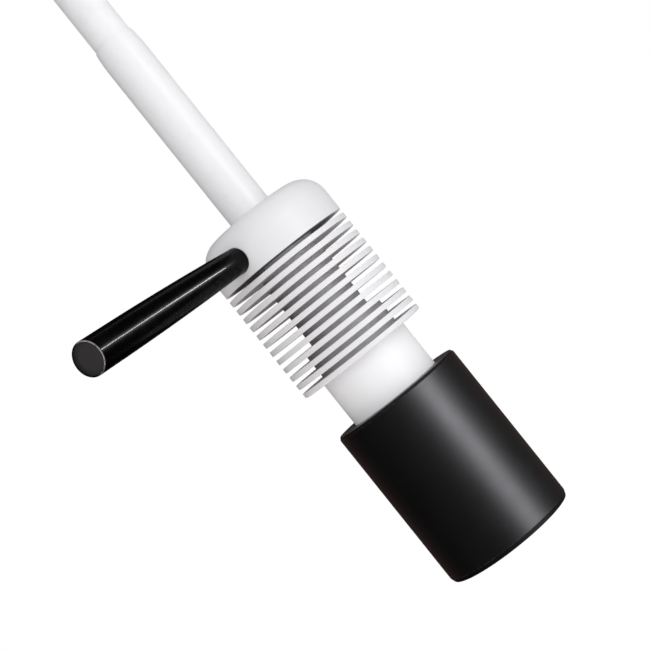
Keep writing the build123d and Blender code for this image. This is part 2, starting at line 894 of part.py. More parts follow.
def retaining_ring():
    body = turned(
        (ring_opening_radius + ring_bevel, ring_foot),
        (stack_radius, ring_foot),
        (stack_radius, ring_top),
        (ring_opening_radius, ring_top),
        (ring_opening_radius, ring_foot + ring_bevel),
    )
    notch = Box(3 * hood_radius, ring_notch_width, 2 * ring_notch_depth)
    return body - Pos(0, 0, ring_foot) * notch


# ---------------------------------------------------------------- handle


def along_handle(shape):
    return outward(shape, handle_bearing, block_foot + handle_height)


def handle_insert():
    body = rod(insert_radius, insert_inner + stack_gap, insert_outer)
    body -= rod(core_thread_radius, insert_inner - cut_margin, insert_outer + cut_margin)
    return along_handle(body)


def handle_core():
    groove_radius = core_rod_radius + slide_gap - 2 * seat_gap - 2 * o_ring_thickness
    half_width = o_ring_thickness + o_ring_room
    body = rod(core_thread_radius - seat_gap, rod_root - core_thread_length, rod_root + cut_margin)
    shaft = rod(core_rod_radius, rod_root, rod_tip)
    body += chamfer(outer_circles(shaft)[-1], 2 * edge_break)
    for place in o_ring_places:
        middle = rod_root + place
        body -= ring(core_rod_radius + cut_margin, groove_radius, middle - half_width, middle + half_width)
    return along_handle(body)


def grip_o_rings():
    middle_radius = core_rod_radius + slide_gap - seat_gap - o_ring_thickness
    rings = []
    for place in o_ring_places:
        rings.append(along_handle(Pos(0, 0, rod_root + place) * Torus(middle_radius, o_ring_thickness)))
    return rings


def grip():
    """A blind tube that swells in a long arc from its root to its tip."""
    bore = core_rod_radius + slide_gap
    pocket = grip_cap_radius() + seat_gap
    pocket_floor = grip_tip - grip_cap_thickness
    bore_end = grip_root + grip_bore_depth
    tip_edge = grip_tip - grip_tip_chamfer
    outline = [
        Line((bore, grip_root), (grip_root_radius, grip_root)),
        ThreePointArc(
            (grip_root_radius, grip_root),
            (grip_middle_radius, (grip_root + grip_tip) / 2),
            (grip_tip_radius, tip_edge),
        ),
        Line((grip_tip_radius, tip_edge), (grip_tip_radius - grip_tip_chamfer, grip_tip)),
        Line((grip_tip_radius - grip_tip_chamfer, grip_tip), (pocket, grip_tip)),
        Line((pocket, grip_tip), (pocket, pocket_floor)),
        Line((pocket, pocket_floor), (0, pocket_floor)),
        Line((0, pocket_floor), (0, bore_end)),
        Line((0, bore_end), (bore, bore_end)),
        Line((bore, bore_end), (bore, grip_root)),
    ]
    return along_handle(revolve(Plane.XZ * make_face(outline), Axis.Z))


def grip_cap_radius():
    return grip_tip_radius - grip_tip_chamfer - grip_cap_rim


def grip_end_cap():
    cap = rod(grip_cap_radius(), grip_tip - grip_cap_thickness + stack_gap, grip_tip - grip_gap)
    return along_handle(cap)


# ---------------------------------------------------------------- writing the pieces

makers = {
    "arm_spigot": arm_spigot,
    "power_socket": power_socket,
    "spigot_ferrule": spigot_ferrule,
    "neck_sheath": neck_sheath,
    "gooseneck_coil": gooseneck_coil,
    "supply_cable": supply_cable,
    "sleeve_tube": sleeve_tube,
    "sleeve_set_screws": sleeve_set_screws,
    "coil_end_plug": coil_end_plug,
    "swivel_pivot": swivel_pivot,
    "swivel_bushing": swivel_bushing,
    "thrust_washer": thrust_washer,
    "stop_collar": stop_collar,
    "collar_screw": collar_screw,
    "stop_pin": stop_pin,
    "head_block": head_block,
    "block_lock_screw": block_lock_screw,
    "heat_sink_core": heat_sink_core,
    "barrel": barrel,
    "driver_board": driver_board,
    "board_standoffs": board_standoffs,
    "board_screws": board_screws,
    "driver_inductor": driver_inductor,
    "driver_capacitors": driver_capacitors,
    "terminal_block": terminal_block,
    "link_lead": link_lead,
    "led_leads": led_leads,
    "thermal_pad": thermal_pad,
    "led_board": led_board,
    "led_board_screws": led_board_screws,
    "led_emitter": led_emitter,
    "reflector": reflector,
    "reflector_snap_ring": reflector_snap_ring,
    "hood_shell": hood_shell,
    "guide_sleeve": guide_sleeve,
    "glide_ring_upper": lambda: glide_ring(0),
    "glide_ring_lower": lambda: glide_ring(1),
    "focus_key": focus_key,
    "baffle_tube": baffle_tube,
    "lens_gasket": lens_gasket,
    "projection_lens": projection_lens,
    "retaining_ring": retaining_ring,
    "handle_insert": handle_insert,
    "handle_core": handle_core,
    "grip_o_rings": grip_o_rings,
    "grip": grip,
    "grip_end_cap": grip_end_cap,
}

os.makedirs("parts", exist_ok=True)
for name, maker in makers.items():
    made = maker()
    if isinstance(made, list):
        made = Compound(children=made)
    export_step(made, f"parts/{name}.step")
for number in range(1, fin_count + 1):
    export_step(cooling_fin(number), f"parts/cooling_fin_{number:02d}.step")
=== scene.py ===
import json
import math

import bmesh
import bpy
from mathutils import Matrix, Vector

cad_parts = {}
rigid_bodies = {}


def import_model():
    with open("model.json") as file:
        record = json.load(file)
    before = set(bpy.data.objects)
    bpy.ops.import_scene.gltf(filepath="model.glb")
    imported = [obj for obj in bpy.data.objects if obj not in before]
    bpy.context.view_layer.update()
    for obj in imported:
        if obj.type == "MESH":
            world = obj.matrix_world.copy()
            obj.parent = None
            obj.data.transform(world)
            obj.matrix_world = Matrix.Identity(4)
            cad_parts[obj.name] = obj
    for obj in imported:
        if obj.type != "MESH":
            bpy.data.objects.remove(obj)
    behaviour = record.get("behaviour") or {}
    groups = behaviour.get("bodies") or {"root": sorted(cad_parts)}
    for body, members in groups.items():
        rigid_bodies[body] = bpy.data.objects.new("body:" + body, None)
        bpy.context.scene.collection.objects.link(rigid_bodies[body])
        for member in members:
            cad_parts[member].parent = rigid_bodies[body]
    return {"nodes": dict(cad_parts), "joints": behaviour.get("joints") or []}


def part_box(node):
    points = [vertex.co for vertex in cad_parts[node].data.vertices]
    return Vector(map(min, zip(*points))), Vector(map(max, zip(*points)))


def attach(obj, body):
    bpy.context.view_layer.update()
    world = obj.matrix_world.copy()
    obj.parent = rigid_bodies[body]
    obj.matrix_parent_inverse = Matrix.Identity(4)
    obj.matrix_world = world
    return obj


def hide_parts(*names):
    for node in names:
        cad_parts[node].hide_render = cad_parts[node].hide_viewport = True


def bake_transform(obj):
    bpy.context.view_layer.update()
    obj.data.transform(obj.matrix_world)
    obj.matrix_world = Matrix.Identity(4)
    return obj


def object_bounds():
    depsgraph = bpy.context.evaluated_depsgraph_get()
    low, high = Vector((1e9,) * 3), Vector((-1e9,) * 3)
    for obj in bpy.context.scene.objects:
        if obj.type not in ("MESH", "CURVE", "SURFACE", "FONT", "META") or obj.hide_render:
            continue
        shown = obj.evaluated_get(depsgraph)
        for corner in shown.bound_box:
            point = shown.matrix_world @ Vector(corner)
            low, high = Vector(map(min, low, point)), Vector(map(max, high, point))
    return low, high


bl_info = {
    "name": "Examination light head",
    "version": (1, 0, 0),
    "blender": (4, 5, 0),
    "location": "3D View > Sidebar > Exam light",
    "description": "Builds and finishes an LED examination light head on a flexible neck, and lights it",
    "category": "Object",
}

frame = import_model()
cad_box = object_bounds()

MM = 0.001
FULL_TURN = 2 * math.pi
UP = Vector((0, 0, 1))

SHARP_ANGLE = math.radians(35)
CORNER_SEGMENTS = 5
WELD_DISTANCE = 1e-7

# Colours of the finishes that stay inside the lamp or show little, as linear red, green and blue.
TURNED_STEEL = (0.56, 0.56, 0.57)
SCREW_STEEL = (0.5, 0.5, 0.52)
COIL_STEEL = (0.60, 0.60, 0.61)
PLATED_STEEL = (0.64, 0.64, 0.65)
BRASS = (0.78, 0.56, 0.25)
CAN_METAL = (0.70, 0.70, 0.72)
BLACK_PLASTIC = (0.02, 0.02, 0.02)
BEARING_PLASTIC = (0.03, 0.03, 0.032)
TERMINAL_GREEN = (0.02, 0.09, 0.04)
WIRE_RED = (0.32, 0.02, 0.02)
BLACK_RUBBER = (0.012, 0.012, 0.012)
BAFFLE_BLACK = (0.008, 0.008, 0.008)
PAD_BLUE_GREY = (0.28, 0.30, 0.34)
FERRITE = (0.035, 0.034, 0.034)


# ------------------------------------------------------------------ measures taken from the frame


def extent(node):
    """(inner radius, outer radius, lowest, highest) of a CAD node about the lamp's axis."""
    corners = [v.co for v in frame["nodes"][node].data.vertices]
    radii = [math.hypot(co.x, co.y) for co in corners]
    heights = [co.z for co in corners]
    return min(radii), max(radii), min(heights), max(heights)


def handle_direction():
    """The way the grip is pulled, out of the block."""
    pull = next(joint for joint in frame["joints"] if joint["name"] == "grip_pull")
    return Vector(pull["axis"]).normalized()


def handle_frame():
    """Carries a piece turned about Z onto the handle's line, with +Z pointing out of the block."""
    low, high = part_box("grip")
    height = (low.z + high.z) / 2
    turn = UP.rotation_difference(handle_direction()).to_matrix().to_4x4()
    return Matrix.Translation((0, 0, height)) @ turn


def handle_extent(node):
    """(nearest, furthest) distance of a CAD node from the lamp's axis, along the handle."""
    along = [v.co.dot(handle_direction()) for v in frame["nodes"][node].data.vertices]
    return min(along), max(along)


# ------------------------------------------------------------------ settings a user may change


class LampShapes(bpy.types.PropertyGroup):
    """Fineness and small shapes of the modelled pieces."""

    turning_steps: bpy.props.IntProperty(
        name="Turning steps", description="Faces round a turned piece", default=192, min=24, max=360
    )
    edge_softness: bpy.props.FloatProperty(
        name="Edge softness", description="Rounding of machined edges",
        default=0.12 * MM, unit="LENGTH", precision=5,
    )
    coil_wire: bpy.props.FloatProperty(
        name="Coil wire", description="Thickness of the gooseneck's wire",
        default=3.0 * MM, unit="LENGTH", precision=4,
    )
    neck_rings: bpy.props.IntProperty(
        name="Neck rings", description="Rings along a part of the neck that bends",
        default=72, min=12, max=200,
    )
    hood_wall: bpy.props.FloatProperty(
        name="Hood wall", description="Thickness of the hood's wall and lip",
        default=3.0 * MM, unit="LENGTH", precision=4,
    )
    grip_root: bpy.props.FloatProperty(
        name="Grip root", description="Radius of the grip beside the block",
        default=6.6 * MM, unit="LENGTH", precision=5,
    )
    grip_swell: bpy.props.FloatProperty(
        name="Grip swell", description="Bulge of the grip beyond a straight taper",
        default=0.57 * MM, unit="LENGTH", precision=5,
    )
    reflector_facets: bpy.props.IntProperty(
        name="Reflector facets", description="Facets round the reflector", default=40, min=12, max=96
    )


class LampColours(bpy.types.PropertyGroup):
    """Colours of the visible finishes, as linear red, green and blue."""

    lacquer: bpy.props.FloatVectorProperty(
        name="White lacquer", description="Block and cooling fins", subtype="COLOR",
        default=(0.73, 0.73, 0.745),
    )
    sleeve: bpy.props.FloatVectorProperty(
        name="Sleeve lacquer", description="Sleeve and ferrule", subtype="COLOR", default=(0.80, 0.80, 0.81)
    )
    barrel: bpy.props.FloatVectorProperty(
        name="White plastic", description="Barrel", subtype="COLOR", default=(0.90, 0.90, 0.91)
    )
    sheath: bpy.props.FloatVectorProperty(
        name="Neck sheath", description="Soft cover of the neck", subtype="COLOR", default=(0.82, 0.82, 0.83)
    )
    core: bpy.props.FloatVectorProperty(
        name="Heat sink core", description="Anodised core between the fins", subtype="COLOR",
        default=(0.42, 0.415, 0.425),
    )
    hood: bpy.props.FloatVectorProperty(
        name="Black anodise", description="Hood and its ring", subtype="COLOR",
        default=(0.0012, 0.0011, 0.0014),
    )
    grip: bpy.props.FloatVectorProperty(
        name="Black gloss", description="Handle's grip", subtype="COLOR", default=(0.001, 0.001, 0.001)
    )
    cap: bpy.props.FloatVectorProperty(
        name="Cap grey", description="Handle's end cap", subtype="COLOR", default=(0.035, 0.031, 0.034)
    )


class StudioSettings(bpy.types.PropertyGroup):
    """Camera, light and floor."""

    camera_place: bpy.props.FloatVectorProperty(
        name="Camera place", description="Where the camera stands", subtype="TRANSLATION",
        default=(-0.0059, -0.8184, -0.2871),
    )
    camera_lean: bpy.props.FloatProperty(
        name="Camera lean", description="Roll of the camera about its view", subtype="ANGLE",
        default=math.radians(38.67),
    )
    camera_lens: bpy.props.FloatProperty(
        name="Camera lens", description="Focal length in millimetres", default=91.4, min=20, max=300
    )
    ambient: bpy.props.FloatProperty(
        name="Ambient light", description="Brightness of the soft light from all round", default=1.05, min=0
    )
    key_power: bpy.props.FloatProperty(
        name="Key light", description="Power of the tall soft light at the right", default=3.9, min=0
    )
    fill_power: bpy.props.FloatProperty(
        name="Fill light", description="Power of the soft light in front", default=3.6, min=0
    )
    gap_power: bpy.props.FloatProperty(
        name="Gap light", description="Power of the light that shows the core between the fins",
        default=7.0, min=0,
    )
    under_power: bpy.props.FloatProperty(
        name="Under light", description="Power of the light that the floor throws under the fins",
        default=3.0, min=0,
    )
    band_power: bpy.props.FloatProperty(
        name="Band light", description="Power of the tall panel that the hood reflects", default=13.5, min=0
    )
    streak_power: bpy.props.FloatProperty(
        name="Streak light", description="Power of the strip that the handle mirrors", default=34.0, min=0
    )
    back_power: bpy.props.FloatProperty(
        name="Back light", description="Power of the soft light behind the lamp", default=5.0, min=0
    )
    bounce_power: bpy.props.FloatProperty(
        name="Bounce light", description="Power of the weak warm light at the lower left", default=1.2, min=0
    )
    floor_drop: bpy.props.FloatProperty(
        name="Floor drop", description="Floor below the arm's end", default=1.25, unit="LENGTH"
    )
    floor_radius: bpy.props.FloatProperty(
        name="Floor radius", description="Radius of the round floor", default=2.6, unit="LENGTH"
    )


# ------------------------------------------------------------------ node wiring


class Signal:
    """A node's output, used in Python expressions as a number that changes over a surface."""

    def __init__(self, wiring, socket):
        self.wiring = wiring
        self.socket = socket

    def __add__(self, other):
        return self.wiring.maths("ADD", self, other)

    def __radd__(self, other):
        return self.wiring.maths("ADD", other, self)

    def __sub__(self, other):
        return self.wiring.maths("SUBTRACT", self, other)

    def __rsub__(self, other):
        return self.wiring.maths("SUBTRACT", other, self)

    def __mul__(self, other):
        return self.wiring.maths("MULTIPLY", self, other)

    def __rmul__(self, other):
        return self.wiring.maths("MULTIPLY", other, self)

    def __truediv__(self, other):
        return self.wiring.maths("DIVIDE", self, other)

    def __rtruediv__(self, other):
        return self.wiring.maths("DIVIDE", other, self)

    def __gt__(self, other):
        return self.wiring.maths("GREATER_THAN", self, other)

    def __lt__(self, other):
        return self.wiring.maths("LESS_THAN", self, other)

    def __abs__(self):
        return self.wiring.maths("ABSOLUTE", self)


class Wiring:
    """Adds nodes to a tree."""

    def __init__(self, tree):
        self.tree = tree

    def node(self, kind, settings=None, inputs=None, output=0):
        """A new node: its settings are set first, then its inputs are given values or links."""
        made = self.tree.nodes.new(kind)
        for name, value in (settings or {}).items():
            setattr(made, name, value)
        for key, value in (inputs or {}).items():
            self.feed(made.inputs[key], value)
        return Signal(self, made.outputs[output])

    def feed(self, socket, value):
        """Links a signal to a socket, or sets the socket's own value."""
        if isinstance(value, Signal):
            self.tree.links.new(value.socket, socket)
        elif socket.type == "RGBA" and len(value) == 3:
            socket.default_value = (*value, 1.0)
        else:
            socket.default_value = value

    def maths(self, operation, *values):
        return self.node("ShaderNodeMath", {"operation": operation}, dict(enumerate(values)))

    def mixed(self, share, first, second):
        """A colour between two colours."""
        return self.node("ShaderNodeMix", {"data_type": "RGBA"}, {0: share, 6: first, 7: second}, output=2)

    def spread(self, value, low, high, to_low=0.0, to_high=1.0):
        """Maps low..high to another range, and holds it at the ends."""
        return self.node(
            "ShaderNodeMapRange",
            {"clamp": True},
            {"Value": value, "From Min": low, "From Max": high, "To Min": to_low, "To Max": to_high},
        )

    def along(self, vector, direction):
        """How far a vector points in a direction."""
        return self.node(
            "ShaderNodeVectorMath", {"operation": "DOT_PRODUCT"}, {0: vector, 1: direction}, output="Value"
        )

    def parts(self, vector):
        """The X, Y and Z of a vector."""
        split = self.tree.nodes.new("ShaderNodeSeparateXYZ")
        self.feed(split.inputs[0], vector)
        return [Signal(self, output) for output in split.outputs]


class Finish(Wiring):
    """A procedural material. What changes over the surface reads the piece's own Object coordinates."""

    def __init__(self, name, **values):
        self.material = bpy.data.materials.new(name)
        self.material.use_nodes = True
        super().__init__(self.material.node_tree)
        self.shader = self.tree.nodes["Principled BSDF"]
        self.place = self.node("ShaderNodeTexCoord", output="Object")
        self.set(**values)

    def set(self, **values):
        """Sets or links the shader's inputs: base_color becomes Base Color."""
        for name, value in values.items():
            label = " ".join(word if word == "IOR" else word.capitalize() for word in name.split("_"))
            self.feed(self.shader.inputs[label], value)

    def mapped(self, scale=(1, 1, 1), rotation=(0, 0, 0)):
        """Object coordinates turned and stretched."""
        return self.node(
            "ShaderNodeMapping", None, {"Vector": self.place, "Rotation": rotation, "Scale": scale}
        )

    def noise(self, size, detail=2.0, where=None, rough=0.5):
        """Soft noise whose blotches are about size across."""
        return self.node(
            "ShaderNodeTexNoise",
            None,
            {"Vector": where or self.place, "Scale": 1 / size, "Detail": detail, "Roughness": rough},
        )

    def specks(self, spacing, share):
        """1 on a few round specks and 0 between them. The share sets how wide they are."""
        middle = self.node(
            "ShaderNodeTexVoronoi",
            None,
            {"Vector": self.place, "Scale": 1 / spacing, "Randomness": 1.0},
            output="Distance",
        )
        return middle < share

    def rounds(self, fine, along):
        """Grain of a turned surface: thin rings that fade in and out round the piece."""
        stretched = self.mapped(scale=(1 / along, 1 / along, 1 / fine))
        return self.noise(1.0, detail=3.0, where=stretched)

    def bump(self, height, depth, strength=1.0):
        """Relief of the surface: height 1 stands depth above height 0."""
        inputs = {"Strength": strength, "Distance": depth, "Height": height}
        self.set(normal=self.node("ShaderNodeBump", None, inputs))


# ------------------------------------------------------------------ finishes


def shaded(colour, factor):
    """A colour made lighter or darker."""
    return tuple(channel * factor for channel in colour)


def white_lacquer(name, colour, grain, depth, roughness):
    """Satin lacquer over metal: fine grain, faint clouds, a little grime, and specks."""
    grime_colour = (0.52, 0.50, 0.47)
    speck_colour = (0.45, 0.43, 0.41)
    finish = Finish(name, specular_IOR_level=0.2)
    clouds = finish.noise(22 * MM, detail=3)
    grime = finish.spread(finish.noise(5 * MM, detail=5), 0.56, 0.78, 0.0, 0.10)
    tint = finish.mixed(clouds, shaded(colour, 0.975), shaded(colour, 1.015))
    soiled = finish.mixed(grime, tint, grime_colour)
    dots = finish.specks(3.1 * MM, 0.035) * 0.2
    finish.set(base_color=finish.mixed(dots, soiled, speck_colour))
    fine = finish.noise(grain, detail=2)
    finish.set(roughness=finish.spread(fine + clouds, 0.7, 1.3, roughness - 0.05, roughness + 0.07))
    finish.bump(fine, depth, 0.5)
    return finish.material


def barrel_plastic(colour):
    """Smooth moulded plastic with faint scuffs from the sliding hood."""
    scuff_colour = (0.6, 0.6, 0.6)
    finish = Finish("barrel_plastic", specular_IOR_level=0.25)
    clouds = finish.noise(30 * MM)
    scuff_and_glint = finish.noise(1.0, detail=4, where=finish.mapped(scale=(900, 900, 45)))
    marks = finish.spread(scuff_and_glint, 0.62, 0.74)
    tint = finish.mixed(clouds, shaded(colour, 0.98), colour)
    finish.set(base_color=finish.mixed(marks * 0.10, tint, scuff_colour))
    finish.set(roughness=finish.spread(clouds + marks * 0.4, 0.3, 1.0, 0.42, 0.56))
    finish.bump(finish.noise(0.5 * MM), 0.01 * MM, 0.4)
    return finish.material


def neck_rubber(colour):
    """Soft matt sheath with fine mould lines round it and a touch of dust."""
    finish = Finish("neck_rubber", sheen_weight=0.15, sheen_roughness=0.5)
    clouds = finish.noise(9 * MM, detail=4)
    rings = finish.rounds(0.45 * MM, 40 * MM)
    dusty = finish.spread(clouds, 0.3, 0.75)
    finish.set(base_color=finish.mixed(dusty, shaded(colour, 1.02), shaded(colour, 0.93)))
    finish.set(roughness=finish.spread(clouds, 0.2, 0.8, 0.50, 0.66))
    finish.bump(rings, 0.02 * MM, 0.5)
    return finish.material


def black_anodise(name, colour, edges):
    """Satin black anodise: turned grain, dust specks, and pale wear on edges given as (height, width)."""
    worn_colour = (0.115, 0.095, 0.088)
    dust_colour = (0.12, 0.115, 0.11)
    finish = Finish(name, specular_IOR_level=1.0)
    grain = finish.rounds(0.16 * MM, 24 * MM)
    clouds = finish.noise(14 * MM, detail=4)
    dust = finish.specks(2.4 * MM, 0.045) * finish.spread(finish.noise(12 * MM), 0.5, 0.62)
    height = finish.parts(finish.place)[2]
    wear = 0.0
    for edge, width in edges:
        near = finish.spread(abs(height - edge), 0.0, width, 1.0, 0.0)
        wear = near * finish.spread(finish.noise(1.3 * MM, detail=5), 0.44, 0.66) + wear
    tint = finish.mixed(clouds, shaded(colour, 0.8), shaded(colour, 1.25))
    worn = finish.mixed(wear * 0.5, tint, worn_colour) if edges else tint
    finish.set(base_color=finish.mixed(dust * 0.5, worn, dust_colour))
    finish.set(roughness=finish.spread(grain * 0.6 + clouds * 0.4, 0.3, 0.7, 0.41, 0.50))
    finish.bump(grain, 0.012 * MM, 0.35)
    return finish.material


def black_gloss(colour):
    """Glossy moulded grip with fine rings and finger marks, and a pale painted glint on one side of its far
    rim.
    """
    dust_colour = (0.1, 0.1, 0.1)
    painted_glint_colour = (0.36, 0.35, 0.35)
    finish = Finish("black_gloss", specular_IOR_level=0.02, coat_weight=0.05, coat_roughness=0.03)
    turn = (0, 0, -math.atan2(handle_direction().y, handle_direction().x))
    rings = finish.noise(1.0, detail=3, where=finish.mapped(scale=(2600, 90, 90), rotation=turn))
    marks = finish.spread(finish.noise(11 * MM, detail=4), 0.48, 0.72)
    dust = finish.specks(3.4 * MM, 0.03)
    # Painted glint: a pale crescent on one side of the grip's far rim, where a light would catch the edge.
    tip = handle_extent("grip")[1]
    along = finish.along(finish.place, handle_direction())
    at_rim = finish.spread(abs(along - tip), 0.1 * MM, 0.42 * MM, 1.0, 0.0)
    one_side = finish.spread(finish.along(finish.place, UP.cross(handle_direction())), -2 * MM, 4 * MM)
    scuff_and_glint = at_rim * one_side * finish.spread(finish.noise(1.6 * MM, detail=4), 0.3, 0.5)
    body = finish.mixed(dust * 0.4, finish.mixed(marks, colour, shaded(colour, 2.0)), dust_colour)
    # Lays the painted glint over the grip's own colour.
    finish.set(base_color=finish.mixed(scuff_and_glint * 0.8, body, painted_glint_colour))
    finish.set(roughness=finish.spread(marks * 0.6 + rings * 0.7, 0.2, 1.1, 0.24, 0.34))
    finish.bump(rings, 0.003 * MM, 0.5)
    return finish.material


def cap_plastic(colour):
    """Matt moulded disc, smoother towards its rim, with painted shade that darkens it towards the rim and
    more on one side.
    """
    finish = Finish("cap_plastic")
    low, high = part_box("grip_end_cap")
    radius = (high.z - low.z) / 2
    side = finish.along(finish.place, UP.cross(handle_direction()))
    rise = finish.parts(finish.place)[2] - (low.z + high.z) / 2
    out = finish.maths("SQRT", side * side + rise * rise)
    clouds = finish.noise(3 * MM, detail=4)
    # Painted shade: darker towards the cap's rim and on one side of it, as light would fall.
    painted_shade = finish.spread(out - side * 0.35 + clouds * 1.5 * MM, 0.75 * radius, 1.4 * radius)
    finish.set(base_color=finish.mixed(painted_shade, colour, shaded(colour, 0.25)))
    fine = finish.noise(0.3 * MM)
    finish.set(roughness=finish.spread(fine, 0.3, 0.7, 0.42, 0.58))
    finish.bump(fine, 0.03 * MM, 0.6)
    return finish.material


def moulded(name, colour, roughness=0.45, depth=0.02 * MM):
    """Plain moulded plastic or rubber with a fine texture."""
    finish = Finish(name)
    clouds = finish.noise(4 * MM, detail=4)
    fine = finish.noise(0.3 * MM, detail=2)
    finish.set(base_color=finish.mixed(clouds, shaded(colour, 0.88), shaded(colour, 1.12)))
    finish.set(roughness=finish.spread(fine + clouds, 0.6, 1.4, roughness - 0.06, roughness + 0.08))
    finish.bump(fine, depth, 0.6)
    return finish.material


def turned_metal(name, colour, roughness=0.28, metallic=1.0):
    """Bare or anodised metal with the rings that a lathe leaves, and a few dull patches."""
    finish = Finish(name, metallic=metallic)
    grain = finish.rounds(0.12 * MM, 12 * MM)
    dull = finish.spread(finish.noise(6 * MM, detail=5), 0.45, 0.7)
    finish.set(base_color=finish.mixed(dull, colour, shaded(colour, 0.86)))
    finish.set(roughness=finish.spread(grain + dull * 0.6, 0.3, 1.2, roughness - 0.07, roughness + 0.14))
    finish.bump(grain, 0.01 * MM, 0.5)
    return finish.material


def felt():
    """Short matt fibres."""
    hollow_colour, fibre_colour = (0.02, 0.02, 0.02), (0.09, 0.09, 0.09)
    finish = Finish("felt", sheen_weight=0.6, sheen_roughness=0.6)
    fibres = finish.noise(0.25 * MM, detail=5, rough=0.7)
    finish.set(base_color=finish.mixed(fibres, hollow_colour, fibre_colour))
    finish.set(roughness=finish.spread(fibres, 0.2, 0.8, 0.85, 1.0))
    finish.bump(fibres, 0.15 * MM)
    return finish.material


def polished_glass():
    """Clear moulded lens with faint dust and a hint of wiping marks."""
    finish = Finish("polished_glass", base_color=(0.97, 0.985, 0.98), transmission_weight=1.0, IOR=1.49)
    wiped = finish.noise(1.0, detail=3, where=finish.mapped(scale=(700, 60, 60), rotation=(0, 0, 0.6)))
    dust = finish.specks(1.7 * MM, 0.05)
    finish.set(roughness=finish.spread(wiped, 0.55, 0.8, 0.015, 0.06) + dust * 0.25)
    finish.bump(finish.noise(9 * MM), 0.004 * MM, 0.3)
    return finish.material


def circuit(name, resist, copper):
    """Solder resist with the faint relief of copper tracks under it and small tinned pads."""
    tin_colour = (0.62, 0.62, 0.60)
    finish = Finish(name, coat_weight=0.3, coat_roughness=0.2)
    lines = finish.node(
        "ShaderNodeTexBrick",
        {"offset": 0.35, "squash": 0.6, "squash_frequency": 3},
        {"Vector": finish.place, "Scale": 1 / (6 * MM), "Mortar Size": 0.05},
        output="Fac",
    )
    track = lines * finish.spread(finish.noise(7 * MM), 0.45, 0.5)
    pads = finish.specks(4 * MM, 0.09)
    finish.set(base_color=finish.mixed(pads, finish.mixed(track, resist, copper), tin_colour))
    finish.set(metallic=pads * 0.9, roughness=finish.spread(pads, 0, 1, 0.35, 0.25))
    finish.bump(track + pads, 0.04 * MM)
    return finish.material


def phosphor():
    """Yellow phosphor over a grid of dies on a white base."""
    base_white = (0.82, 0.82, 0.80)
    between_dies, on_dies = (0.80, 0.56, 0.06), (0.90, 0.70, 0.12)
    pitch = 1.1 * MM
    half_die = 0.36
    keep_positive = 100.5
    yellow_share = 0.69
    finish = Finish("phosphor", coat_weight=0.4, coat_roughness=0.1)
    across, deep, _ = finish.parts(finish.place)
    columns, rows = [
        abs(finish.maths("FRACT", way / pitch + keep_positive) - 0.5) < half_die for way in (across, deep)
    ]
    dies = columns * rows
    radius = finish.maths("SQRT", across * across + deep * deep)
    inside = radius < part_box("led_emitter")[1].x * yellow_share
    yellow = finish.mixed(dies, between_dies, on_dies)
    finish.set(base_color=finish.mixed(inside, base_white, yellow))
    finish.set(roughness=finish.spread(finish.noise(0.4 * MM), 0.3, 0.7, 0.35, 0.5))
    return finish.material


def mirror_coat():
    """Bright vacuum plating with a slight orange peel."""
    finish = Finish("mirror_coat", base_color=(0.93, 0.93, 0.92), metallic=1.0)
    peel = finish.noise(1.2 * MM)
    finish.set(roughness=finish.spread(finish.noise(8 * MM, detail=4), 0.35, 0.75, 0.05, 0.12))
    finish.bump(peel, 0.01 * MM, 0.3)
    return finish.material


def floor_paint(radius):
    """Pale seamless floor that fades out into the white surroundings."""
    darker, lighter = (0.86, 0.86, 0.86), (0.90, 0.90, 0.90)
    finish = Finish("floor_paint", roughness=0.7, emission_color=(1, 1, 1), emission_strength=0.22)
    clouds = finish.noise(0.4, detail=4)
    finish.set(base_color=finish.mixed(clouds, darker, lighter))
    across, deep, _ = finish.parts(finish.place)
    out = finish.maths("SQRT", across * across + deep * deep)
    finish.set(alpha=finish.spread(out, 0.3 * radius, 0.95 * radius, 1.0, 0.0))
    return finish.material


# ------------------------------------------------------------------ mesh building


def shapes():
    return bpy.context.scene.lamp_shapes


def colours():
    return bpy.context.scene.lamp_colours


def piece_from(name, mesh, material):
    """Puts a finished bmesh into the scene as a smooth piece with crisp edges."""
    data = bpy.data.meshes.new(name)
    mesh.to_mesh(data)
    mesh.free()
    data.shade_smooth()
    data.set_sharp_from_angle(angle=SHARP_ANGLE)
    data.materials.append(material)
    made = bpy.data.objects.new(name, data)
    bpy.context.scene.collection.objects.link(made)
    return made


def weighted(piece):
    """Keeps flat faces flat beside small roundings."""
    modifier = piece.modifiers.new("flat_faces", "WEIGHTED_NORMAL")
    modifier.keep_sharp = True
    return piece


def outline_in(mesh, corners, closed):
    """Draws (radius, height, rounding) corners in the XZ plane and rounds them."""
    points = [mesh.verts.new((radius, 0, height)) for radius, height, _ in corners]
    pairs = list(zip(points, points[1:]))
    if closed:
        pairs.append((points[-1], points[0]))
    for pair in pairs:
        mesh.edges.new(pair)
    for point, (_, _, rounding) in zip(points, corners):
        if rounding:
            bmesh.ops.bevel(
                mesh, geom=[point], offset=rounding, offset_type="OFFSET", segments=CORNER_SEGMENTS,
                profile=0.5, affect="VERTICES", material=-1,
            )


def spun(mesh, steps):
    """Turns the outline about Z into a closed skin with its faces outwards."""
    bmesh.ops.spin(
        mesh, geom=mesh.verts[:] + mesh.edges[:], cent=(0, 0, 0), axis=UP, angle=FULL_TURN, steps=steps,
        use_merge=True,
    )
    bmesh.ops.remove_doubles(mesh, verts=mesh.verts[:], dist=WELD_DISTANCE)
    bmesh.ops.recalc_face_normals(mesh, faces=mesh.faces[:])


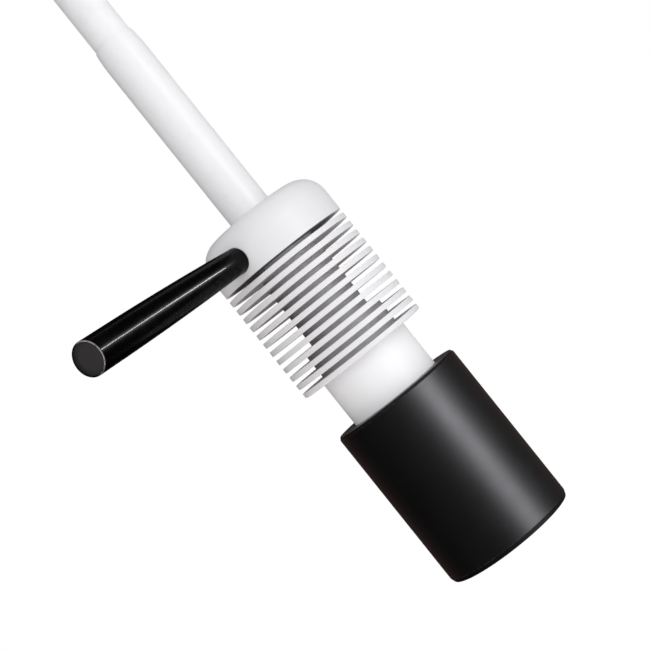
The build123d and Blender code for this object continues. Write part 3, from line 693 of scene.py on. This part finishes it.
def turned(name, corners, material, closed=True, rings=0, steps=None, place=None):
    """A piece turned about Z. Rings are extra cuts along its upright edges, for a piece that bends.

    An open outline starts and ends on the axis.
    """
    slant_allowed = 0.01 * MM
    mesh = bmesh.new()
    outline_in(mesh, corners, closed)
    if rings:
        upright = [e for e in mesh.edges if abs(e.verts[0].co.x - e.verts[1].co.x) < slant_allowed]
        bmesh.ops.subdivide_edges(mesh, edges=upright, cuts=rings)
    spun(mesh, steps or shapes().turning_steps)
    if place is not None:
        bmesh.ops.transform(mesh, matrix=place, verts=mesh.verts[:])
    return piece_from(name, mesh, material)


def stands_for(piece, node, body):
    """Puts a rigid piece in the place of a CAD node."""
    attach(piece, body)
    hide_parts(node)
    return piece


def bends_for(piece, node):
    """Puts a piece of the flexible neck in the place of a CAD node."""
    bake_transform(piece)
    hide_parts(node)
    return piece


def refinish(material, *nodes):
    """Gives CAD nodes a finish, and keeps their shape."""
    for node in nodes:
        for slot in frame["nodes"][node].material_slots:
            slot.material = material


# ------------------------------------------------------------------ operators


class LAMP_OT_neck(bpy.types.Operator):
    """Make the flexible neck: soft sheath, wound coil and the lead inside it"""

    bl_idname = "exam_lamp.neck"
    bl_label = "Flexible neck"

    def execute(self, context):
        rings = shapes().neck_rings
        self.sheath(rings)
        self.coil()
        self.lead(rings)
        return {"FINISHED"}

    def sheath(self, rings):
        inner, outer, foot, top = extent("neck_sheath")
        soft = 0.3 * MM
        corners = [(inner, foot, 0), (outer, foot, soft), (outer, top, soft), (inner, top, 0)]
        cover = turned("neck_cover", corners, neck_rubber(colours().sheath), rings=rings, steps=96)
        bends_for(cover, "neck_sheath")

    def coil(self):
        """One round wire wound close, from the lower end plug to the spigot."""
        _, outer, foot, top = extent("gooseneck_coil")
        wire = shapes().coil_wire / 2
        turns = round((top - foot) / (2 * wire)) - 1
        rise = (top - foot - 2 * wire) / turns
        steps_per_turn = 32
        gap_share = 0.03
        mesh = bmesh.new()
        upright = Matrix.Rotation(math.radians(90), 4, "X")
        section = bmesh.ops.create_circle(
            mesh, cap_ends=True, radius=wire * (1 - gap_share), segments=10,
            matrix=Matrix.Translation((outer - wire, 0, foot + wire)) @ upright,
        )
        bmesh.ops.spin(
            mesh, geom=section["verts"] + mesh.edges[:] + mesh.faces[:], cent=(0, 0, 0), axis=UP,
            dvec=(0, 0, rise / steps_per_turn), angle=turns * FULL_TURN, steps=turns * steps_per_turn,
        )
        bmesh.ops.recalc_face_normals(mesh, faces=mesh.faces[:])
        steel = turned_metal("coil_steel", COIL_STEEL, 0.3)
        bends_for(piece_from("neck_coil", mesh, steel), "gooseneck_coil")

    def lead(self, rings):
        _, outer, foot, top = extent("supply_cable")
        soft = 0.2 * MM
        corners = [(0, foot, 0), (outer, foot, soft), (outer, top, soft), (0, top, 0)]
        jacket = moulded("lead_jacket", BLACK_PLASTIC, 0.5)
        wire = turned("neck_lead", corners, jacket, closed=False, rings=2 * rings, steps=24)
        bends_for(wire, "supply_cable")


class LAMP_OT_arm_end(bpy.types.Operator):
    """Finish the arm's end: spigot, ferrule, power socket and the coil's lower fitting"""

    bl_idname = "exam_lamp.arm_end"
    bl_label = "Arm end"

    def execute(self, context):
        plated = turned_metal("spigot_plating", PLATED_STEEL, 0.34, metallic=0.45)
        refinish(plated, "arm_spigot", "coil_end_plug")
        refinish(moulded("socket_plastic", BLACK_PLASTIC), "power_socket")
        lacquer = white_lacquer("ferrule_lacquer", colours().sleeve, 0.25 * MM, 0.015 * MM, 0.36)
        refinish(lacquer, "spigot_ferrule")
        return {"FINISHED"}


class LAMP_OT_sleeve(bpy.types.Operator):
    """Finish the rigid sleeve and the swivel that it turns on"""

    bl_idname = "exam_lamp.sleeve"
    bl_label = "Sleeve and swivel"

    def execute(self, context):
        refinish(white_lacquer("sleeve_lacquer", colours().sleeve, 0.3 * MM, 0.015 * MM, 0.36), "sleeve_tube")
        steel = turned_metal("swivel_steel", TURNED_STEEL)
        refinish(steel, "swivel_pivot", "thrust_washer", "stop_collar")
        screws = turned_metal("pin_steel", SCREW_STEEL, 0.22)
        refinish(screws, "stop_pin", "collar_screw", "sleeve_set_screws")
        refinish(moulded("bearing_plastic", BEARING_PLASTIC, 0.5), "swivel_bushing")
        return {"FINISHED"}


class LAMP_OT_block(bpy.types.Operator):
    """Finish the housing block, and make the twelve cooling fins"""

    bl_idname = "exam_lamp.block"
    bl_label = "Block and cooling fins"

    def execute(self, context):
        lacquer = white_lacquer("block_lacquer", colours().lacquer, 0.55 * MM, 0.03 * MM, 0.44)
        refinish(lacquer, "head_block")
        refinish(turned_metal("lock_steel", SCREW_STEEL, 0.22), "block_lock_screw")
        core = turned_metal("core_anodise", colours().core, 0.5, metallic=0.15)
        refinish(core, "heat_sink_core")
        fin_lacquer = white_lacquer("fin_lacquer", colours().lacquer, 0.4 * MM, 0.012 * MM, 0.44)
        fins = sorted(node for node in frame["nodes"] if node.startswith("cooling_fin_"))
        for node in fins:
            self.fin(node, node == fins[-1], fin_lacquer)
        return {"FINISHED"}

    def fin(self, node, is_last, lacquer):
        """A disc with soft edges. The lowest one has a rounder foot."""
        inner, outer, foot, top = extent(node)
        soft = 2 * shapes().edge_softness
        foot_soft = 1.0 * MM if is_last else soft
        corners = [(inner, foot, 0), (outer, foot, foot_soft), (outer, top, soft), (inner, top, 0)]
        disc = weighted(turned(node.replace("cooling_fin", "fin_disc"), corners, lacquer))
        stands_for(disc, node, "head")


class LAMP_OT_barrel(bpy.types.Operator):
    """Finish the barrel that the hood slides on"""

    bl_idname = "exam_lamp.barrel"
    bl_label = "Barrel"

    def execute(self, context):
        refinish(barrel_plastic(colours().barrel), "barrel")
        return {"FINISHED"}


class LAMP_OT_hood(bpy.types.Operator):
    """Make the black hood, and finish the slide, the baffle and the ring inside it"""

    bl_idname = "exam_lamp.hood"
    bl_label = "Focusing hood"

    def execute(self, context):
        inner, outer, foot, top = extent("hood_shell")
        wall = shapes().hood_wall
        soft = shapes().edge_softness
        bore = outer - wall
        top_in, top_down = 1.0 * MM, 1.5 * MM
        foot_in, foot_up = 0.9 * MM, 2.5 * MM
        mouth_bevel = 0.5 * MM
        corners = [
            (inner, top, 2 * soft),
            (outer - top_in, top, soft),
            (outer, top - top_down, soft),
            (outer, foot + foot_up, soft),
            (outer - foot_in, foot, 2 * soft),
            (bore + mouth_bevel, foot, soft),
            (bore, foot + mouth_bevel, soft),
            (bore, top - wall, 0),
            (inner, top - wall, soft),
        ]
        worn = [(top, 0.25 * MM), (top - top_down, 0.2 * MM), (foot + foot_up, 0.2 * MM), (foot, 0.3 * MM)]
        anodise = black_anodise("hood_anodise", colours().hood, worn)
        shell = weighted(turned("focusing_hood", corners, anodise))
        stands_for(shell, "hood_shell", "hood")
        refinish(black_anodise("ring_anodise", colours().hood, []), "retaining_ring")
        refinish(moulded("guide_plastic", BEARING_PLASTIC, 0.5), "guide_sleeve")
        refinish(moulded("baffle_paint", BAFFLE_BLACK, 0.8, depth=0.05 * MM), "baffle_tube")
        refinish(turned_metal("key_steel", SCREW_STEEL, 0.22), "focus_key")
        refinish(felt(), "glide_ring_upper", "glide_ring_lower")
        refinish(moulded("gasket_rubber", BLACK_RUBBER, 0.6), "lens_gasket")
        return {"FINISHED"}


class LAMP_OT_optics(bpy.types.Operator):
    """Make the lens and the faceted reflector, and finish the light source"""

    bl_idname = "exam_lamp.optics"
    bl_label = "Lens, reflector and light source"

    def execute(self, context):
        self.lens()
        self.reflector()
        refinish(phosphor(), "led_emitter")
        refinish(circuit("led_board_resist", (0.78, 0.78, 0.76), (0.72, 0.72, 0.70)), "led_board")
        refinish(moulded("pad_silicone", PAD_BLUE_GREY, 0.6), "thermal_pad")
        steel = turned_metal("ring_steel", SCREW_STEEL, 0.25)
        refinish(steel, "led_board_screws", "reflector_snap_ring")
        return {"FINISHED"}

    def lens(self):
        """Flat below, a dome above, and a plain edge with soft corners."""
        _, outer, foot, top = extent("projection_lens")
        edge = 4.0 * MM
        soft = 0.3 * MM
        dome = 30.0 * MM
        dome_rows = 28
        rise = top - foot - edge
        sphere = (dome**2 + rise**2) / (2 * rise)
        slope = math.asin(dome / sphere)
        corners = [(0, foot, 0), (outer, foot, soft), (outer, foot + edge, soft)]
        for row in range(dome_rows + 1):
            tilt = slope * (1 - row / dome_rows)
            corners.append((sphere * math.sin(tilt), top - sphere + sphere * math.cos(tilt), 0))
        lens = turned("front_lens", corners, polished_glass(), closed=False)
        stands_for(weighted(lens), "projection_lens", "hood")

    def reflector(self):
        """A bowl of flat facets inside a thin wall, on a flat rim."""
        inner, outer, foot, top = extent("reflector")
        wall = 1.0 * MM
        rim = 2.0 * MM
        mouth = 20.5 * MM
        rows = 9
        fullness = 0.68
        depth = top - foot - rim
        curve = []
        for row in range(rows + 1):
            share = row / rows
            curve.append((inner + (mouth - inner) * share**fullness, top - depth * share))
        inside = [(radius, height, 0) for radius, height in curve]
        outside = [(radius + wall, height, 0) for radius, height in reversed(curve)]
        corners = inside + [(mouth, foot, 0), (outer, foot, 0), (outer, foot + rim, 0)] + outside
        bowl = turned("reflector_bowl", corners, mirror_coat(), steps=shapes().reflector_facets)
        bowl.data.shade_flat()
        stands_for(bowl, "reflector", "head")


class LAMP_OT_driver(bpy.types.Operator):
    """Finish the driver board and its wiring inside the block"""

    bl_idname = "exam_lamp.driver"
    bl_label = "Driver"

    def execute(self, context):
        refinish(circuit("driver_resist", (0.02, 0.13, 0.05), (0.05, 0.22, 0.08)), "driver_board")
        refinish(turned_metal("brass", BRASS, 0.25), "board_standoffs")
        refinish(turned_metal("screw_steel", SCREW_STEEL, 0.25), "board_screws")
        refinish(moulded("ferrite", FERRITE, 0.6), "driver_inductor")
        refinish(turned_metal("can_aluminium", CAN_METAL, 0.2), "driver_capacitors")
        refinish(moulded("terminal_plastic", TERMINAL_GREEN, 0.4), "terminal_block")
        refinish(moulded("wire_jacket", BLACK_PLASTIC, 0.5), "link_lead")
        refinish(moulded("led_wire_jacket", WIRE_RED, 0.5), "led_leads")
        return {"FINISHED"}


class LAMP_OT_handle(bpy.types.Operator):
    """Make the pull-off grip and its end cap, and finish the rod inside it"""

    bl_idname = "exam_lamp.handle"
    bl_label = "Handle"

    def execute(self, context):
        self.grip()
        self.cap()
        refinish(turned_metal("rod_steel", TURNED_STEEL), "handle_core")
        refinish(turned_metal("insert_brass", BRASS, 0.25), "handle_insert")
        refinish(moulded("ring_rubber", BLACK_RUBBER, 0.5), "grip_o_rings")
        return {"FINISHED"}

    def grip(self):
        """A swelling tube with a closed end, a pocket for the cap and soft edges."""
        root, tip = handle_extent("grip")
        low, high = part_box("grip")
        widest = (high.z - low.z) / 2
        narrow = shapes().grip_root
        swell = shapes().grip_swell
        bore = 4.3 * MM
        bore_end = root + 99.0 * MM
        bevel = 0.4 * MM
        rim_soft = 0.06 * MM
        pocket = widest - 0.6 * MM
        pocket_floor = tip - 3.0 * MM
        root_soft = 0.3 * MM
        parts = 16
        corners = [(bore, root, root_soft), (narrow, root, root_soft)]
        for part in range(1, parts):
            share = part / parts
            radius = narrow + (widest - narrow) * share + 4 * swell * share * (1 - share)
            corners.append((min(radius, widest), root + (tip - root) * share, 0))
        corners += [
            (widest, tip - bevel, 0.15 * MM),
            (widest - bevel, tip, rim_soft),
            (pocket, tip, rim_soft),
            (pocket, pocket_floor, 0),
            (0, pocket_floor, 0),
            (0, bore_end, 0),
            (bore, bore_end, 0),
        ]
        grip = turned("handle_grip", corners, black_gloss(colours().grip), place=handle_frame())
        stands_for(weighted(grip), "grip", "grip")

    def cap(self):
        """A thick disc that fills the grip's pocket."""
        inner_face, outer_face = handle_extent("grip_end_cap")
        low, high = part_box("grip_end_cap")
        radius = (high.z - low.z) / 2
        corners = [
            (0, inner_face, 0),
            (radius, inner_face, 0),
            (radius, outer_face, 0.3 * MM),
            (0, outer_face, 0),
        ]
        grey = cap_plastic(colours().cap)
        cap = turned("handle_end_cap", corners, grey, closed=False, place=handle_frame())
        stands_for(weighted(cap), "grip_end_cap", "grip")


class LAMP_OT_stage(bpy.types.Operator):
    """Set up the camera, the soft lights, the surroundings and the pale floor"""

    bl_idname = "exam_lamp.stage"
    bl_label = "Camera, light and floor"

    def execute(self, context):
        studio = context.scene.studio
        context.scene.view_settings.view_transform = "Standard"
        self.camera(context.scene, studio)
        self.surroundings(context.scene, studio)
        self.floor(studio)
        self.lights(studio)
        return {"FINISHED"}

    def lights(self, studio):
        """Soft lights for the whole lamp, and some that fall on a few pieces only."""
        low, high = cad_box
        below_middle = 0.1
        aim = Vector((0, 0, (low.z + high.z) / 2 - below_middle))
        cool = (0.95, 0.94, 1.0)
        warm = (1.0, 0.88, 0.82)
        self.light(aim, "key", (0.82, -0.57, 0.1), 1.25, (0.62, 1.3), studio.key_power, glossy=False)
        self.light(
            aim, "band", (0.71, -0.7, 0.0), 1.25, (0.55, 1.3), studio.band_power, diffuse=False, colour=cool
        )
        self.light(aim, "fill", (-0.35, -0.92, 0.2), 1.4, (0.9, 0.9), studio.fill_power, glossy=False)
        streak = self.light(
            aim, "streak", (0.926, 0.375, 0.02), 1.5, (1.0, 0.06), studio.streak_power, diffuse=False
        )
        self.only_for(streak, "streak_pieces", ["handle_grip", "handle_end_cap"])
        gap = self.light(aim, "gap", (0.45, -0.88, 0.0), 1.4, (0.6, 0.6), studio.gap_power, glossy=False)
        self.only_for(gap, "gap_pieces", ["heat_sink_core"], shaded_by="neck_lead")
        under = self.light(
            aim, "under", (-0.15, -0.15, -1), 1.4, (0.7, 0.7), studio.under_power, glossy=False, colour=warm
        )
        fins = [piece.name for piece in bpy.data.objects if piece.name.startswith("fin_disc_")]
        self.only_for(under, "under_pieces", ["head_block"] + fins, shaded_by="neck_lead")
        self.light(aim, "back", (0.4, 0.9, 0.1), 1.4, (0.9, 1.2), studio.back_power, glossy=False)
        self.light(
            aim, "warm_bounce", (-0.7, -0.5, -0.45), 1.4, (0.8, 0.8), studio.bounce_power, glossy=False,
            colour=warm,
        )

    def camera(self, scene, studio):
        data = bpy.data.cameras.new("camera")
        data.lens = studio.camera_lens
        camera = bpy.data.objects.new("camera", data)
        lean = Matrix.Rotation(studio.camera_lean, 4, "Y")
        level = Matrix.Rotation(math.radians(90), 4, "X")
        camera.matrix_world = Matrix.Translation(studio.camera_place) @ lean @ level
        scene.collection.objects.link(camera)
        scene.camera = camera

    def surroundings(self, scene, studio):
        """White behind the lamp, soft grey as its light, and nearly black in its reflections."""
        world = bpy.data.worlds.new("surroundings")
        world.use_nodes = True
        world.node_tree.nodes.clear()
        wiring = Wiring(world.node_tree)
        path = world.node_tree.nodes.new("ShaderNodeLightPath")
        is_camera = Signal(wiring, path.outputs["Is Camera Ray"])
        is_glossy = Signal(wiring, path.outputs["Is Glossy Ray"])
        direction = wiring.node("ShaderNodeTexCoord", output="Generated")
        bright_side = Vector((0.45, -0.72, 0.5)).normalized()
        reflected_tint = (1.0, 0.6, 0.5)
        from_bright = wiring.spread(wiring.along(direction, bright_side), -0.9, 1.0, 0.0, studio.ambient)
        behind = wiring.spread(wiring.along(direction, (0, 1, 0)), 0.3, 0.95, 0.004, 0.15)
        level = wiring.spread(abs(wiring.along(direction, UP)), 0.1, 0.4, 1.0, 0.06)
        soft = wiring.node("ShaderNodeBackground", None, {"Color": (1.0, 0.99, 1.0), "Strength": from_bright})
        rim = behind * level
        dark = wiring.node("ShaderNodeBackground", None, {"Color": reflected_tint, "Strength": rim})
        white = wiring.node("ShaderNodeBackground", None, {"Color": (1.0, 1.0, 1.0), "Strength": 1.0})
        lit = wiring.node("ShaderNodeMixShader", None, {0: is_glossy, 1: soft, 2: dark})
        seen = wiring.node("ShaderNodeMixShader", None, {0: is_camera, 1: lit, 2: white})
        output = world.node_tree.nodes.new("ShaderNodeOutputWorld")
        wiring.feed(output.inputs["Surface"], seen)
        scene.world = world

    def floor(self, studio):
        mesh = bmesh.new()
        bmesh.ops.create_circle(
            mesh, cap_ends=True, radius=studio.floor_radius, segments=96,
            matrix=Matrix.Translation((0, 0, -studio.floor_drop)),
        )
        floor = piece_from("floor", mesh, floor_paint(studio.floor_radius))
        floor.visible_glossy = False

    def light(self, aim, name, direction, distance, size, power, colour=(1, 1, 1), glossy=True, diffuse=True):
        """A rectangular soft light that looks at the object from a direction, its second side upright."""
        data = bpy.data.lights.new(name, "AREA")
        data.shape = "RECTANGLE"
        data.size, data.size_y = size
        data.energy = power
        data.color = colour
        lamp = bpy.data.objects.new(name, data)
        away = Vector(direction).normalized()
        lamp.location = aim + away * distance
        lamp.rotation_euler = away.to_track_quat("Z", "Y").to_euler()
        lamp.visible_camera = False
        lamp.visible_glossy = glossy
        lamp.visible_diffuse = diffuse
        bpy.context.scene.collection.objects.link(lamp)
        return lamp

    def only_for(self, lamp, name, pieces, shaded_by=None):
        """Lets a light fall on a few pieces only, and lets one piece alone throw shadows in it."""
        chosen = bpy.data.collections.new(name)
        for piece in pieces:
            chosen.objects.link(frame["nodes"].get(piece) or bpy.data.objects[piece])
        lamp.light_linking.receiver_collection = chosen
        if shaded_by:
            shading = bpy.data.collections.new(name + "_shadow")
            shading.objects.link(bpy.data.objects[shaded_by])
            lamp.light_linking.blocker_collection = shading


class LAMP_PT_panel(bpy.types.Panel):
    """Lists the steps that build the lamp, in order"""

    bl_idname = "LAMP_PT_panel"
    bl_label = "Examination light head"
    bl_space_type = "VIEW_3D"
    bl_region_type = "UI"
    bl_category = "Exam light"

    def draw(self, context):
        for step in STEPS:
            self.layout.operator(step.bl_idname)
        for group in (context.scene.lamp_shapes, context.scene.lamp_colours, context.scene.studio):
            box = self.layout.box()
            for name in group.__annotations__:
                box.prop(group, name)


STEPS = (
    LAMP_OT_arm_end,
    LAMP_OT_neck,
    LAMP_OT_sleeve,
    LAMP_OT_block,
    LAMP_OT_barrel,
    LAMP_OT_hood,
    LAMP_OT_optics,
    LAMP_OT_driver,
    LAMP_OT_handle,
    LAMP_OT_stage,
)
GROUPS = {"lamp_shapes": LampShapes, "lamp_colours": LampColours, "studio": StudioSettings}


def register():
    for group in GROUPS.values():
        bpy.utils.register_class(group)
    for name, group in GROUPS.items():
        setattr(bpy.types.Scene, name, bpy.props.PointerProperty(type=group))
    for step in STEPS:
        bpy.utils.register_class(step)
    bpy.utils.register_class(LAMP_PT_panel)


def unregister():
    bpy.utils.unregister_class(LAMP_PT_panel)
    for step in reversed(STEPS):
        bpy.utils.unregister_class(step)
    for name, group in GROUPS.items():
        delattr(bpy.types.Scene, name)
        bpy.utils.unregister_class(group)


def main():
    register()
    for step in STEPS:
        family, action = step.bl_idname.split(".")
        getattr(getattr(bpy.ops, family), action)()


if __name__ == "__main__":
    main()
